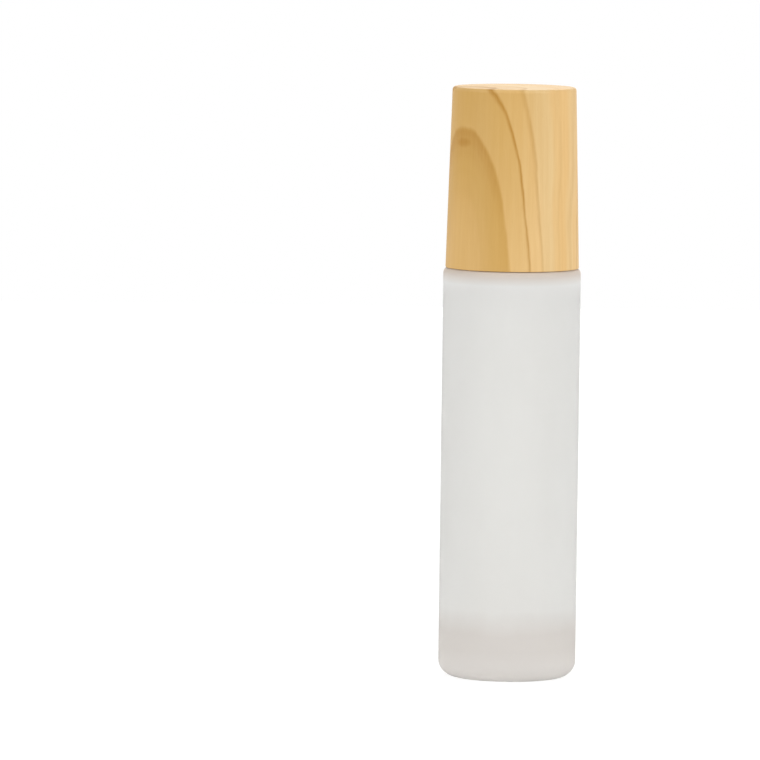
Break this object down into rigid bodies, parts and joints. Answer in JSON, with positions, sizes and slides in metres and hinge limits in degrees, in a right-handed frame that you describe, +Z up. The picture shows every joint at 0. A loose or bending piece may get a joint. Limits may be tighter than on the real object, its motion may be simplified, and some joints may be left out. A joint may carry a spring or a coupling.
{
  "type": "roll-on bottle",
  "caption": "Slim thick-walled frosted glass bottle with a snap-in roller ball holder and a tapered screw cap in a wood-grain finish with a threaded liner.",
  "frame": {"origin": "centre of the bottle's base, in the plane of its standing ring", "axes": "+Z up along the bottle's axis towards the cap, -Y the side that faces the viewer in the picture"},
  "size_m": [0.02, 0.02, 0.086],
  "materials": {
    "frosted_glass": "acid-frosted outside, smooth inside",
    "natural_plastic": "natural polyethylene, satin",
    "steel": "polished stainless steel",
    "foam": "fine closed-cell polyethylene foam",
    "white_plastic": "moulded polypropylene, satin",
    "wood_grain": "light wood grain under a thin satin clear coat"
  },
  "bodies": {
    "bottle": {"glass_bottle": "frosted_glass", "ball_holder": "natural_plastic"},
    "ball": {"roller_ball": "steel"},
    "pad": {"sealing_pad": "foam"},
    "cap": {"cap_liner": "white_plastic", "cap_shell": "wood_grain"}
  },
  "joints": [
    {"name": "ball_roll", "type": "hinge", "parent": "bottle", "child": "ball", "pos_m": [0, 0, 0.0763], "axis": [1, 0, 0], "continuous": true},
    {"name": "cap_rise", "type": "slide", "parent": "bottle", "child": "pad", "axis": [0, 0, 1], "range_m": [0, 0.03]},
    {"name": "cap_turn", "type": "hinge", "parent": "pad", "child": "cap", "pos_m": [0, 0, 0.0598], "axis": [0, 0, 1], "range_deg": [0, 4320]}
  ],
  "couplings": [
    {"joint": "cap_rise", "follows": "cap_turn", "m_per_rad": 0.00039789}
  ]
}
